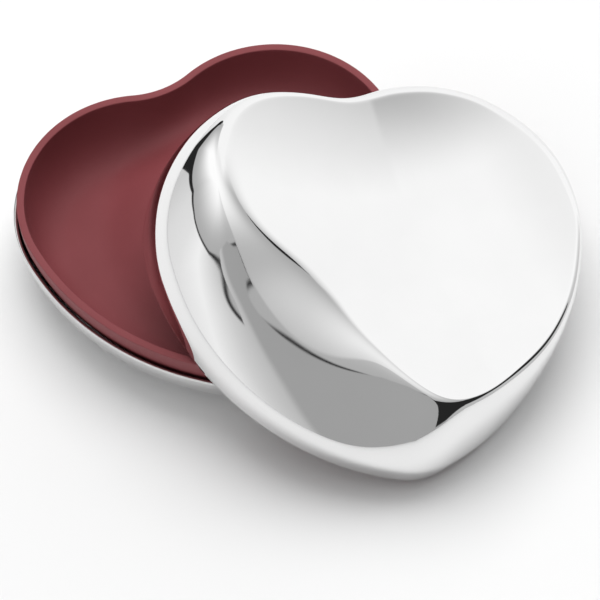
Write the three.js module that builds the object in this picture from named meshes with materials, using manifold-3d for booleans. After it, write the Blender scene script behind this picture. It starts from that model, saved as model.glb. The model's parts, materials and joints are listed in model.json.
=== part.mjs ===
// A heart-shaped wind-up music box with a lift-off lid, lying open: the lid leans on the base's rim.
// Millimetres, +Z up. The origin is on the felt pad's underside, on the heart's middle line between the
// key's opening and the tip. The heart's tip points to -Y.
import * as THREE from 'three';
import { mergeVertices } from 'three/addons/utils/BufferGeometryUtils.js';
import Module from 'manifold-3d';

const wasm = await Module();
wasm.setup();

// ---------------------------------------------------------------- driving dimensions

const GAP = 0.3;                    // running gap between neighbouring pieces
const SEGMENTS = { notch: 4, lobe: 14, side: 9, tip: 5 };
const HEART_CENTRE_Y = 36;          // the lobe centres lie this far from the origin

// One heart outline is five arcs: a notch fillet, two lobes, two long sides and a tip fillet.
const BASE_HEART = {
  lobeRadius: 43.9, lobeX: 24.6, notchRadius: 29.5, sideRadius: 93, tipRadius: 34, tipY: -85.1,
};
const LID_HEART = {
  lobeRadius: 48.2, lobeX: 25.4, notchRadius: 26, sideRadius: 95.5, tipRadius: 26, tipY: -85.8,
};

const PAD = { thickness: 1.2, inset: 22, keyHole: 15 };
const SHELL = { bottom: 1.5, height: 20.5, wall: 1.2, keyHole: 14 };
const LINER = {
  top: 30.2, inset: 1.3, rimWidth: 2.6, floor: 8.5, thickness: 1.6, spread: 15, roundness: 2.2,
};
const RAISED_FLOOR = { x: 14, y: -16, height: 17.4, inner: 33, outer: 58 };

// The lid is widest at its belt, whose height is a share of the crest's height above the same point.
const LID = { widest: 0.8, footInset: 0.8, belt: 0.27, wall: 1.8, footWall: 1 };
const LID_PAN = { inset: 3.2, rim: 8.8, top: 14, thickness: 1.5, spread: 9 };
const LID_PLACE = { x: 33.3, y: -42.4, z: 25.1, yaw: -9.9, pitch: 13.9, roll: 12.9 };

// The flank is full on the left, steep on the right and nearly a straight draft at the back and the tip.
// Each change fades out over its spread, in degrees, on both sides of its direction.
const FLANK_ROUNDNESS = 2.1;
const FLANK_CHANGES = [
  { direction: 80, spread: 75, change: -0.95 },
  { direction: 243, spread: 85, change: -0.8 },
  { direction: 335, spread: 60, change: 0.9 },
];

// The dish's surface is a shallow bowl that rises towards the left lobe and towards the tip.
const DISH = { x: 20, y: -10, depth: 24.6, leanX: -0.03, leanY: -0.055, curveX: 0.0024, curveY: 0.0011 };

// The crest is the dish's edge: it follows the rim on the right and makes the S-shaped ridge on the left.
const CREST = [
  [69, -12], [68.6, -3], [66.5, 9], [61.5, 19.5], [55, 28], [46.5, 36], [35, 41.3], [26, 43],
  [17.6, 43.3], [9, 42], [0, 41.6], [-8, 43.6], [-19, 45.3], [-32, 44.8], [-43.5, 39], [-50, 28],
  [-50.5, 14], [-47.5, 1.5], [-41, -8], [-32, -17.5], [-22.5, -31], [-14, -48], [-5, -62],
  [4.8, -70.5], [17.6, -69.8], [33, -62.5], [47.6, -52.3], [59, -38.3], [66.5, -22],
];

// The movement, in the heart's own frame: x and y from the middle of the lobe centres.
const ARBOR = { x: -2, y: -16, radius: 1.5 };
const KEY = { z: 0.7, height: 2.9, reach: 6.1, wing: 3.4, eye: 1.5, hub: 3.2 };
// The bedplate's back right corner is cut away (notchX, notchY) for the stop lever's upturned finger.
const PLATE = {
  z: 4.1, thickness: 1, left: -17, right: 41.5, low: -34, high: 1.5, corner: 5, notchX: 36, notchY: -1.6,
};
const SPACERS = [[-12.5, -31.2], [37.5, -31.2], [8, -1.2]];
const SPACER_RADIUS = 2.4;
const SCREW = { shank: 1, head: 2, headHeight: 1.1 };
const BARREL = { z: 5.4, radius: 13, height: 3.2, wall: 0.7, rim: 1.1, cap: 0.6 };
const CROWN = { teeth: 36, width: 1.1, height: 0.6 };
const SPRING = { turns: 3, steps: 48, ribbon: 0.5 };
const BRIDGE = { thickness: 0.8 };
const POSTS = [[-14.2, -26.6], [-14.2, -5.4]];
const RATCHET = { teeth: 12, root: 3.1, tip: 3.9, thickness: 0.7 };
const CLICK = { x: -9.6, y: -14, pin: 0.6 };
const GEAR = { x: 9.8, radius: 3.1, teeth: 9, thickness: 0.9 };
const GOVERNOR_GEAR = { radius: 3.1, teeth: 18 };
const SHAFT = { radius: 0.8, from: 9.2, to: 36.2 };
const CYLINDER = { from: 12.6, to: 32.6, radius: 2.6, pinHeight: 0.4, pins: 16, pinTurn: 2.4 };
const CHEEK = 1;
const COMB = { thickness: 0.8, reach: 6.6, land: 5.4, teeth: 16, screws: [0.25, 0.75], shank: 0.8 };
const WHEEL = { side: 4.5, z: 11.2, radius: 2.6, teeth: 16, pinion: 1.1, pinionTeeth: 7, shaft: 0.5 };
const FLY = { x: 36.3, y: -7.9, z: 13.9, radius: 3.1, blade: 0.8, worm: 0.9 };
const LEVER = { x: 23, y: -5, z: 3, thickness: 0.8, pin: 0.7, tab: [-13.5, -6.8], end: [15, 7.4], tip: 5.2 };

// ---------------------------------------------------------------- materials

function material(color, roughness, metalness) {
  return new THREE.MeshStandardMaterial({ color, roughness, metalness });
}

const POLISHED_STEEL = material(0xd9dbdc, 0.06, 1);
const SATIN_STEEL = material(0xb9bcbe, 0.3, 1);
const BLUED_STEEL = material(0x3a4250, 0.3, 1);
const BRASS = material(0xc9a25a, 0.28, 1);
const BURGUNDY = material(0x7a1f28, 0.45, 0);
const FELT = material(0x3a1418, 0.95, 0);

// ---------------------------------------------------------------- heart outlines

// The centre of a circle of radius `radius` that both named circles touch from inside.
function sideCentre(heart) {
  const lobe = new THREE.Vector2(heart.lobeX, 0);
  const tip = new THREE.Vector2(0, heart.tipY + heart.tipRadius);
  const toLobe = heart.sideRadius - heart.lobeRadius;
  const toTip = heart.sideRadius - heart.tipRadius;
  const between = tip.clone().sub(lobe);
  const distance = between.length();
  const along = (toLobe ** 2 - toTip ** 2 + distance ** 2) / (2 * distance);
  const across = Math.sqrt(toLobe ** 2 - along ** 2);
  const unit = between.divideScalar(distance);
  return new THREE.Vector2(
    lobe.x + unit.x * along + unit.y * across,
    lobe.y + unit.y * along - unit.x * across,
  );
}

function arcPoints(centre, radius, from, to, count) {
  const points = [];
  for (let i = 0; i < count; i += 1) {
    const angle = from + ((to - from) * i) / count;
    points.push([centre.x + radius * Math.cos(angle), centre.y + radius * Math.sin(angle)]);
  }
  return points;
}

// A closed, anticlockwise heart, moved outwards by `offset`; equal indices lie on equal normals.
function heartRing(heart, offset) {
  const notchHeight = Math.sqrt((heart.lobeRadius + heart.notchRadius) ** 2 - heart.lobeX ** 2);
  const notch = new THREE.Vector2(0, notchHeight);
  const lobe = new THREE.Vector2(heart.lobeX, 0);
  const side = sideCentre(heart);
  const tip = new THREE.Vector2(0, heart.tipY + heart.tipRadius);
  const notchEnd = Math.atan2(lobe.y - notch.y, lobe.x - notch.x);
  const lobeStart = Math.atan2(notch.y - lobe.y, notch.x - lobe.x);
  const lobeEnd = Math.atan2(lobe.y - side.y, lobe.x - side.x);
  const sideEnd = Math.atan2(tip.y - side.y, tip.x - side.x);
  const right = [
    ...arcPoints(notch, heart.notchRadius - offset, -Math.PI / 2, notchEnd, SEGMENTS.notch),
    ...arcPoints(lobe, heart.lobeRadius + offset, lobeStart, lobeEnd, SEGMENTS.lobe),
    ...arcPoints(side, heart.sideRadius + offset, lobeEnd, sideEnd, SEGMENTS.side),
    ...arcPoints(tip, heart.tipRadius + offset, sideEnd, -Math.PI / 2, SEGMENTS.tip),
    [0, heart.tipY - offset],
  ];
  const left = right.slice(1, -1).map(([x, y]) => [-x, y]);
  return [...right.reverse(), ...left];
}

function ringAt(heart, offset, z) {
  return heartRing(heart, offset).map(([x, y]) => [x, y, z]);
}

// A ring pulled towards a centre: fraction 0 is the ring itself, 1 is the centre.
function shrunkRing(ring, centre, fraction, z) {
  return ring.map(([x, y]) => [x + (centre[0] - x) * fraction, y + (centre[1] - y) * fraction, z]);
}

function centreOf(ring, centre) {
  const z = ring.reduce((sum, point) => sum + point[2], 0) / ring.length;
  return [centre[0], centre[1], z];
}

// A closed skin over rings of equal length, with a fan over the first ring and one over the last.
function loft(rings, centre, heights = {}) {
  const count = rings[0].length;
  const positions = rings.flat(2);
  const first = centreOf(rings[0], centre);
  const last = centreOf(rings[rings.length - 1], centre);
  first[2] = heights.first ?? first[2];
  last[2] = heights.last ?? last[2];
  positions.push(...first, ...last);
  const firstIndex = rings.length * count;
  const lastIndex = firstIndex + 1;
  const index = [];
  for (let i = 0; i < count; i += 1) {
    const next = (i + 1) % count;
    const top = (rings.length - 1) * count;
    index.push(firstIndex, next, i);
    index.push(lastIndex, top + i, top + next);
    for (let k = 0; k + 1 < rings.length; k += 1) {
      const a = k * count + i;
      const b = k * count + next;
      index.push(a, b, b + count);
      index.push(a, b + count, a + count);
    }
  }
  const geometry = new THREE.BufferGeometry();
  geometry.setAttribute('position', new THREE.Float32BufferAttribute(positions, 3));
  geometry.setIndex(index);
  return geometry;
}

// ---------------------------------------------------------------- plain solids and booleans

function extrude(shape, depth, curveSegments = 8) {
  return new THREE.ExtrudeGeometry(shape, { depth, bevelEnabled: false, curveSegments });
}

function circleShape(radius, hole = 0) {
  const shape = new THREE.Shape();
  shape.absarc(0, 0, radius, 0, Math.PI * 2, false);
  if (hole > 0) {
    const path = new THREE.Path();
    path.absarc(0, 0, hole, 0, Math.PI * 2, true);
    shape.holes.push(path);
  }
  return shape;
}

function polygonShape(points) {
  return new THREE.Shape(points.map(([x, y]) => new THREE.Vector2(x, y)));
}

function rectangleShape(width, height) {
  const w = width / 2;
  const h = height / 2;
  return polygonShape([[-w, -h], [w, -h], [w, h], [-w, h]]);
}

function addRoundHole(shape, x, y, radius) {
  const path = new THREE.Path();
  path.absarc(x, y, radius, 0, Math.PI * 2, true);
  shape.holes.push(path);
}

function tube(radius, hole, height, curveSegments = 8) {
  return extrude(circleShape(radius, hole), height, curveSegments);
}

function gearShape(tipRadius, rootRadius, teeth, hole) {
  const points = [];
  for (let i = 0; i < teeth; i += 1) {
    const step = (Math.PI * 2) / teeth;
    for (const [turn, radius] of [[0, rootRadius], [0.3, rootRadius], [0.45, tipRadius], [0.75, tipRadius]]) {
      const angle = (i + turn) * step;
      points.push([radius * Math.cos(angle), radius * Math.sin(angle)]);
    }
  }
  const shape = polygonShape(points);
  if (hole > 0) {
    addRoundHole(shape, 0, 0, hole);
  }
  return shape;
}

function toSolid(geometry) {
  const bare = geometry.clone();
  bare.deleteAttribute('normal');
  bare.deleteAttribute('uv');
  const merged = mergeVertices(bare, 1e-4);
  return new wasm.Manifold(new wasm.Mesh({
    numProp: 3,
    vertProperties: Float32Array.from(merged.attributes.position.array),
    triVerts: Uint32Array.from(merged.index.array),
  }));
}

function toGeometry(solid) {
  const mesh = solid.getMesh();
  const geometry = new THREE.BufferGeometry();
  geometry.setAttribute('position', new THREE.Float32BufferAttribute(mesh.vertProperties, 3));
  geometry.setIndex(Array.from(mesh.triVerts));
  return geometry;
}

function join(...geometries) {
  return toGeometry(geometries.map(toSolid).reduce((sum, solid) => sum.add(solid)));
}

function cut(geometry, ...tools) {
  return toGeometry(tools.map(toSolid).reduce((rest, tool) => rest.subtract(tool), toSolid(geometry)));
}

function at(geometry, x, y, z) {
  return geometry.clone().translate(x, y, z);
}

function piece(name, geometry, surface) {
  const mesh = new THREE.Mesh(geometry, surface);
  mesh.name = name;
  return mesh;
}

// ---------------------------------------------------------------- base: shell, pad and liner

const BASE_MIDDLE = [0, -20];

// The shell's section: how far in from the rim its outer face lies, from the flat bottom to the rim.
const SHELL_SECTION = [
  [-20, 0], [-12.5, 1.2], [-7, 4], [-3.4, 8], [-1.3, 13], [-0.2, 18], [0, SHELL.height],
];

function baseShell() {
  const outer = SHELL_SECTION.map(([offset, z]) => ringAt(BASE_HEART, offset, SHELL.bottom + z));
  const inner = SHELL_SECTION.map(([offset, z]) => {
    const lowness = 1 - z / SHELL.height;
    const inset = SHELL.wall * (1 - 0.6 * lowness ** 2);
    return ringAt(BASE_HEART, offset - inset, SHELL.bottom + z + SHELL.wall * lowness);
  });
  const bowl = loft([...outer, ...inner.reverse()], BASE_MIDDLE);
  const keyHole = at(tube(SHELL.keyHole, 0, 4, 16), ARBOR.x, ARBOR.y, 0);
  return piece('base_shell', cut(bowl, keyHole), POLISHED_STEEL);
}

function basePad() {
  const outline = heartRing(BASE_HEART, -PAD.inset);
  const shape = polygonShape(outline);
  addRoundHole(shape, ARBOR.x, ARBOR.y, PAD.keyHole);
  return piece('base_pad', extrude(shape, PAD.thickness, 14), FELT);
}

function smoothStep(from, to, value) {
  const t = THREE.MathUtils.clamp((value - from) / (to - from), 0, 1);
  return t * t * (3 - 2 * t);
}

// The bowl's floor is deep towards the left lobe and rises over the movement.
function floorHeight(x, y) {
  const distance = Math.hypot(x - RAISED_FLOOR.x, y - RAISED_FLOOR.y);
  const rise = 1 - smoothStep(RAISED_FLOOR.inner, RAISED_FLOOR.outer, distance);
  return LINER.floor + (RAISED_FLOOR.height - LINER.floor) * rise;
}

// One ring of the bowl's wall at sweep angle `turn`: 0 is the rim and 90 degrees is where it joins the floor.
function bowlWallRing(turn, thickness) {
  const power = 2 / LINER.roundness;
  const inward = 1 - Math.cos(turn) ** power;
  const down = Math.sin(turn) ** power;
  const edge = -LINER.inset - LINER.rimWidth - LINER.spread * inward;
  const outward = thickness * (1 + (LINER.rimWidth / LINER.thickness - 1) * (1 - down));
  return heartRing(BASE_HEART, edge + outward).map(([x, y]) => {
    const z = LINER.top - (LINER.top - floorHeight(x, y)) * down - thickness * down;
    return [x, y, z];
  });
}

function linerFloorRing(fraction, thickness) {
  const edge = bowlWallRing(Math.PI / 2, thickness);
  const ring = shrunkRing(edge, BASE_MIDDLE, fraction, 0);
  return ring.map(([x, y]) => [x, y, floorHeight(x, y) - thickness]);
}

function liner() {
  const turns = [0, 12, 30, 50, 70, 90].map(THREE.MathUtils.degToRad);
  const shares = [0.3, 0.62];
  const inside = [
    ...turns.map((turn) => bowlWallRing(turn, 0)),
    ...shares.map((share) => linerFloorRing(share, 0)),
  ];
  const outside = [
    ...turns.map((turn) => bowlWallRing(turn, LINER.thickness)),
    ...shares.map((share) => linerFloorRing(share, LINER.thickness)),
  ];
  const middle = floorHeight(...BASE_MIDDLE);
  const rings = [...outside.reverse(), ...inside];
  const bowl = loft(rings, BASE_MIDDLE, { first: middle - LINER.thickness, last: middle });
  return piece('liner', bowl, BURGUNDY);
}

// ---------------------------------------------------------------- lid

const DISH_MIDDLE = [DISH.x, DISH.y];
const CREST_INSET = 0.8;            // the wall's sideways share at the crest

function dishHeight(x, y) {
  const plane = DISH.depth + DISH.leanX * x + DISH.leanY * y;
  return plane + DISH.curveX * (x - DISH.x) ** 2 + DISH.curveY * (y - DISH.y) ** 2;
}

// The crest's distance from the dish's middle, for each direction.
function crestReach() {
  const points = CREST.map(([x, y]) => new THREE.Vector3(x, y, 0));
  const curve = new THREE.CatmullRomCurve3(points, true, 'centripetal');
  const table = curve.getPoints(400).slice(0, -1).map((point) => {
    const x = point.x - DISH.x;
    const y = point.y - DISH.y;
    return [Math.atan2(y, x), Math.hypot(x, y)];
  });
  return table.sort((a, b) => a[0] - b[0]);
}

const CREST_TABLE = crestReach();

function crestRadius(angle) {
  const after = CREST_TABLE.findIndex((entry) => entry[0] > angle);
  const high = after === -1 ? 0 : after;
  const low = (high - 1 + CREST_TABLE.length) % CREST_TABLE.length;
  const turn = Math.PI * 2;
  const span = (CREST_TABLE[high][0] - CREST_TABLE[low][0] + turn) % turn;
  const share = ((angle - CREST_TABLE[low][0] + turn) % turn) / span;
  return CREST_TABLE[low][1] * (1 - share) + CREST_TABLE[high][1] * share;
}

// The crest beside an outline point; the inner skin's crest is also drawn in by its depth.
function crestPoint(x, y, depth) {
  const angle = Math.atan2(y - DISH.y, x - DISH.x);
  const radius = crestRadius(angle) - depth * CREST_INSET;
  return [DISH.x + radius * Math.cos(angle), DISH.y + radius * Math.sin(angle)];
}

function flankRoundness(x, y) {
  const bearing = THREE.MathUtils.radToDeg(Math.atan2(y - DISH.y, x - DISH.x));
  return FLANK_CHANGES.reduce((roundness, { direction, spread, change }) => {
    const gap = Math.abs(THREE.MathUtils.euclideanModulo(bearing - direction + 180, 360) - 180);
    return roundness + change * (1 - smoothStep(0, spread, gap));
  }, FLANK_ROUNDNESS);
}

// The lid's flank from its belt (turn 0) up to the crest (90 degrees), moved inwards by `depth`.
function flankRing(turn, depth) {
  return heartRing(LID_HEART, LID.widest - depth).map(([x, y]) => {
    const [cx, cy] = crestPoint(x, y, depth);
    const power = 2 / flankRoundness(x, y);
    const inward = 1 - Math.cos(turn) ** power;
    const upward = Math.sin(turn) ** power;
    const top = dishHeight(cx, cy);
    const belt = LID.belt * top;
    return [x + (cx - x) * inward, y + (cy - y) * inward, belt + (top - depth - belt) * upward];
  });
}

// A ring of the lid below its belt: share 0 is the foot and 1 is the belt.
function footRing(share, depth) {
  const foot = LID.widest - LID.footInset - depth * (LID.footWall / LID.wall);
  const offset = foot + (LID.widest - depth - foot) * Math.sin((share * Math.PI) / 2);
  return heartRing(LID_HEART, offset).map(([x, y]) => {
    const crest = crestPoint(x, y, depth);
    return [x, y, share * LID.belt * dishHeight(...crest)];
  });
}

// A ring of the dish: share 0 is the crest and 1 is its middle.
function dishRing(share, depth) {
  return heartRing(LID_HEART, LID.widest - depth).map(([x, y]) => {
    const [cx, cy] = crestPoint(x, y, depth);
    const px = cx + (DISH.x - cx) * share;
    const py = cy + (DISH.y - cy) * share;
    return [px, py, dishHeight(px, py) - depth];
  });
}

function lidSkin(depth) {
  const turns = [0, 18, 36, 54, 72, 90].map(THREE.MathUtils.degToRad);
  return [
    footRing(0, depth),
    footRing(0.5, depth),
    ...turns.map((turn) => flankRing(turn, depth)),
    ...[0.12, 0.35, 0.65].map((share) => dishRing(share, depth)),
  ];
}

function lidShell() {
  const outside = lidSkin(0);
  const inside = lidSkin(LID.wall);
  const middle = dishHeight(DISH.x, DISH.y);
  const rings = [...inside.reverse(), ...outside];
  const geometry = loft(rings, DISH_MIDDLE, { first: middle - LID.wall, last: middle });
  return piece('lid_shell', geometry, POLISHED_STEEL);
}

function lidLiner() {
  const wall = LID_PAN.thickness;
  const rings = [];
  const low = LID_PAN.top - wall;
  rings.push(ringAt(LID_HEART, -LID_PAN.inset - wall - LID_PAN.spread, low));
  rings.push(ringAt(LID_HEART, -LID_PAN.inset - wall - LID_PAN.spread * 0.3, low - 2.6));
  rings.push(ringAt(LID_HEART, -LID_PAN.inset - wall, LID_PAN.rim));
  rings.push(ringAt(LID_HEART, -LID_PAN.inset, LID_PAN.rim));
  rings.push(ringAt(LID_HEART, -LID_PAN.inset - LID_PAN.spread * 0.22, LID_PAN.top - 2.2));
  rings.push(ringAt(LID_HEART, -LID_PAN.inset - LID_PAN.spread, LID_PAN.top));
  return piece('lid_liner', loft(rings, BASE_MIDDLE), BURGUNDY);
}

function lid() {
  const group = new THREE.Group();
  group.add(lidShell(), lidLiner());
  group.position.set(LID_PLACE.x, LID_PLACE.y, LID_PLACE.z);
  group.rotation.set(
    THREE.MathUtils.degToRad(LID_PLACE.pitch),
    THREE.MathUtils.degToRad(LID_PLACE.roll),
    THREE.MathUtils.degToRad(LID_PLACE.yaw),
    'ZXY',
  );
  return group;
}

// ---------------------------------------------------------------- musical movement

const PLATE_TOP = PLATE.z + PLATE.thickness;
const BRIDGE_Z = BARREL.z + BARREL.height + CROWN.height + GAP;
const CYLINDER_Y = ARBOR.y;
const CYLINDER_Z = BARREL.z + BARREL.height + CROWN.height + 0.1 + GEAR.radius;

function bedplate() {
  const { left, right, low, high, corner } = PLATE;
  const { notchX, notchY } = PLATE;
  const shape = polygonShape([
    [left + corner, low], [right - corner, low], [right, low + corner], [right, notchY], [notchX, notchY],
    [notchX, high], [left + corner, high], [left, high - corner], [left, low + corner],
  ]);
  addRoundHole(shape, ARBOR.x, ARBOR.y, ARBOR.radius + GAP);
  addRoundHole(shape, LEVER.x, LEVER.y, LEVER.pin + GAP);
  for (const [x, y] of SPACERS) {
    addRoundHole(shape, x, y, SCREW.shank + GAP);
  }
  return piece('bedplate', at(extrude(shape, PLATE.thickness, 6), 0, 0, PLATE.z), BRASS);
}

// A cheese-head screw: its shank runs from `low` up to the head's seat at `seat`.
function screw(shank, head, seat, low) {
  const overlap = 0.2;
  return join(
    at(tube(shank, 0, seat - low + overlap, 5), 0, 0, low),
    at(tube(head, 0, SCREW.headHeight, 6), 0, 0, seat),
  );
}

function plateFixings() {
  const bottom = SHELL.bottom + SHELL.wall + GAP;
  const height = PLATE.z - GAP - bottom;
  const spacer = tube(SPACER_RADIUS, SCREW.shank + GAP, height, 6);
  const fixing = screw(SCREW.shank, SCREW.head, PLATE_TOP + GAP, bottom);
  return SPACERS.flatMap(([x, y], i) => [
    piece(`plate_spacer_${i + 1}`, at(spacer, x, y, bottom), SATIN_STEEL),
    piece(`plate_screw_${i + 1}`, at(fixing, x, y, 0), SATIN_STEEL),
  ]);
}

// The drum turns about the arbor; crown teeth stand on its rim and drive the cylinder's gear.
function springBarrel() {
  const { radius, wall, rim, height } = BARREL;
  const bore = ARBOR.radius + GAP;
  const profile = [
    [bore, 0], [radius, 0], [radius, height], [radius - rim, height],
    [radius - rim, wall], [bore, wall], [bore, 0],
  ].map(([r, z]) => new THREE.Vector2(r, z));
  const drum = new THREE.LatheGeometry(profile, 32).rotateX(Math.PI / 2);
  const teeth = [];
  for (let i = 0; i < CROWN.teeth; i += 1) {
    const tooth = new THREE.BoxGeometry(CROWN.width, 1, CROWN.height + 0.2);
    tooth.translate(radius - CROWN.width / 2 - 0.1, 0, height + CROWN.height / 2 - 0.1);
    teeth.push(tooth.rotateZ((Math.PI * 2 * (i + 0.5)) / CROWN.teeth));
  }
  return piece('spring_barrel', at(join(drum, ...teeth), ARBOR.x, ARBOR.y, BARREL.z), BRASS);
}

function barrelCap() {
  const z = BARREL.z + BARREL.height - BARREL.cap;
  const cap = tube(BARREL.radius - BARREL.rim - GAP, ARBOR.radius + GAP, BARREL.cap, 12);
  return piece('barrel_cap', at(cap, ARBOR.x, ARBOR.y, z), BRASS);
}

// The spring is one flat ribbon wound as a spiral, standing on edge inside the barrel.
function mainspring() {
  const { turns, steps, ribbon } = SPRING;
  const inner = ARBOR.radius + 1;
  const outer = BARREL.radius - BARREL.rim - 0.6;
  const edge = (shift) => {
    const points = [];
    for (let i = 0; i <= steps; i += 1) {
      const angle = (turns * Math.PI * 2 * i) / steps;
      const radius = inner + ((outer - inner) * i) / steps + shift;
      points.push([radius * Math.cos(angle), radius * Math.sin(angle)]);
    }
    return points;
  };
  const shape = polygonShape([...edge(ribbon / 2), ...edge(-ribbon / 2).reverse()]);
  const height = BARREL.height - BARREL.wall - BARREL.cap - 2 * GAP;
  const coil = extrude(shape, height);
  return piece('mainspring', at(coil, ARBOR.x, ARBOR.y, BARREL.z + BARREL.wall + GAP), BLUED_STEEL);
}

function windingArbor() {
  const low = KEY.z + KEY.height + GAP;
  const high = BRIDGE_Z + BRIDGE.thickness + GAP + RATCHET.thickness + 0.4;
  return piece('winding_arbor', at(tube(ARBOR.radius, 0, high - low, 6), ARBOR.x, ARBOR.y, low), SATIN_STEEL);
}

// A low two-winged key on a round hub, which hangs in the opening of the underside.
function windingKey() {
  const wing = new THREE.Shape();
  wing.absarc(-KEY.reach, 0, KEY.wing, Math.PI / 2, (Math.PI * 3) / 2, false);
  wing.absarc(KEY.reach, 0, KEY.wing, -Math.PI / 2, Math.PI / 2, false);
  addRoundHole(wing, -KEY.reach, 0, KEY.eye);
  addRoundHole(wing, KEY.reach, 0, KEY.eye);
  const blade = KEY.height * 0.5;
  const hub = at(tube(KEY.hub, 0, KEY.height - blade + 0.2, 7), 0, 0, blade - 0.2);
  const key = join(extrude(wing, blade, 7), hub);
  return piece('winding_key', at(key, ARBOR.x, ARBOR.y, KEY.z), SATIN_STEEL);
}

function ratchetWheel() {
  const points = [];
  for (let i = 0; i < RATCHET.teeth; i += 1) {
    const step = (Math.PI * 2) / RATCHET.teeth;
    points.push([RATCHET.root * Math.cos(i * step), RATCHET.root * Math.sin(i * step)]);
    points.push([RATCHET.tip * Math.cos((i + 0.9) * step), RATCHET.tip * Math.sin((i + 0.9) * step)]);
  }
  const shape = polygonShape(points);
  addRoundHole(shape, 0, 0, ARBOR.radius + 0.05);
  const z = BRIDGE_Z + BRIDGE.thickness + GAP;
  return piece('ratchet_wheel', at(extrude(shape, RATCHET.thickness, 6), ARBOR.x, ARBOR.y, z), SATIN_STEEL);
}

// The pawl's nose points at the ratchet wheel from its pivot on the bridge.
function click() {
  const shape = polygonShape([
    [-1.2, 1.5], [-1.2, -1.5], [0.9, -1.5], [2.7, -4.2], [3.5, -3.8], [1.4, 0.6], [1, 1.5],
  ]);
  addRoundHole(shape, 0, 0, CLICK.pin + GAP);
  const z = BRIDGE_Z + BRIDGE.thickness + GAP;
  return piece('click', at(extrude(shape, RATCHET.thickness, 5), CLICK.x, CLICK.y, z), BLUED_STEEL);
}

function clickScrew() {
  const z = BRIDGE_Z + BRIDGE.thickness + 0.05;
  const shank = tube(CLICK.pin, 0, RATCHET.thickness + 2 * GAP, 5);
  const head = at(tube(1.3, 0, 0.5, 5), 0, 0, RATCHET.thickness + 2 * GAP - 0.05);
  return piece('click_screw', at(join(shank, head), CLICK.x, CLICK.y, z), SATIN_STEEL);
}

function barrelBridge() {
  const [south, north] = POSTS;
  const reach = ARBOR.x + 3.5;
  const shape = polygonShape([
    [south[0] - 2, south[1] - 2], [south[0] + 2, south[1] - 2], [reach, ARBOR.y - 3.5],
    [reach, ARBOR.y + 3.5], [north[0] + 2, north[1] + 2], [north[0] - 2, north[1] + 2],
  ]);
  addRoundHole(shape, ARBOR.x, ARBOR.y, ARBOR.radius + GAP);
  return piece('barrel_bridge', at(extrude(shape, BRIDGE.thickness, 6), 0, 0, BRIDGE_Z), BRASS);
}

function bridgeFixings() {
  const low = PLATE_TOP + GAP;
  const post = tube(1.5, 0, BRIDGE_Z - GAP - low, 6);
  const head = tube(1.4, 0, 0.8, 6);
  return POSTS.flatMap(([x, y], i) => [
    piece(`bridge_post_${i + 1}`, at(post, x, y, low), BRASS),
    piece(`bridge_screw_${i + 1}`, at(head, x, y, BRIDGE_Z + BRIDGE.thickness + GAP), SATIN_STEEL),
  ]);
}

// Turns a solid built along +Z so that it runs along +X from its start.
function alongX(geometry) {
  return geometry.clone().rotateY(Math.PI / 2);
}

// The tune drum: a brass tube with short pins that lift the comb's teeth.
function tuneCylinder() {
  const length = CYLINDER.to - CYLINDER.from;
  const parts = [tube(CYLINDER.radius, SHAFT.radius + 0.05, length, 9)];
  for (let i = 0; i < CYLINDER.pins; i += 1) {
    const pin = new THREE.BoxGeometry(CYLINDER.pinHeight * 2, 0.45, 0.45);
    pin.translate(CYLINDER.radius, 0, 0);
    pin.rotateZ(i * CYLINDER.pinTurn);
    parts.push(at(pin, 0, 0, 1 + (i * (length - 2)) / (CYLINDER.pins - 1)));
  }
  return piece('tune_cylinder', at(alongX(join(...parts)), CYLINDER.from, CYLINDER_Y, CYLINDER_Z), BRASS);
}

function cylinderArbor() {
  const shaft = alongX(tube(SHAFT.radius, 0, SHAFT.to - SHAFT.from, 5));
  return piece('cylinder_arbor', at(shaft, SHAFT.from, CYLINDER_Y, CYLINDER_Z), SATIN_STEEL);
}

// A spur gear on the cylinder's arbor, in the plane across it.
function arborGear(name, x, { radius, teeth }) {
  const outline = gearShape(radius, radius - 0.6, teeth, SHAFT.radius + 0.05);
  const gear = alongX(extrude(outline, GEAR.thickness, 5));
  return piece(name, at(gear, x, CYLINDER_Y, CYLINDER_Z), BRASS);
}

// An upright cheek across the arbor. Its outline is given as [y, z] from the arbor's foot point.
function cheek(name, x, outline, holes) {
  const low = PLATE_TOP + GAP;
  const shape = polygonShape(outline);
  for (const [y, z, radius] of holes) {
    addRoundHole(shape, y, z - low, radius + GAP);
  }
  const upright = extrude(shape, CHEEK, 5);
  upright.rotateX(Math.PI / 2);
  upright.rotateZ(Math.PI / 2);
  return piece(name, at(upright, x, CYLINDER_Y, low), BRASS);
}

function bearings() {
  const top = CYLINDER_Z + 1.6 - PLATE_TOP - GAP;
  const left = [[-2.4, 0], [2.4, 0], [2.4, top - 1], [1.4, top], [-1.4, top], [-2.4, top - 1]];
  const right = [
    [-2.4, 0], [WHEEL.side + 2, 0], [WHEEL.side + 2, top - 1.6], [2.6, top - 1], [1.4, top], [-1.4, top],
    [-2.4, top - 1],
  ];
  const bore = [0, CYLINDER_Z, SHAFT.radius];
  return [
    cheek('bearing_left', CYLINDER.from - GAP - CHEEK, left, [bore]),
    cheek('bearing_right', WHEEL_CHEEK_X, right, [bore, [WHEEL.side, WHEEL.z, WHEEL.shaft]]),
  ];
}

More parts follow.
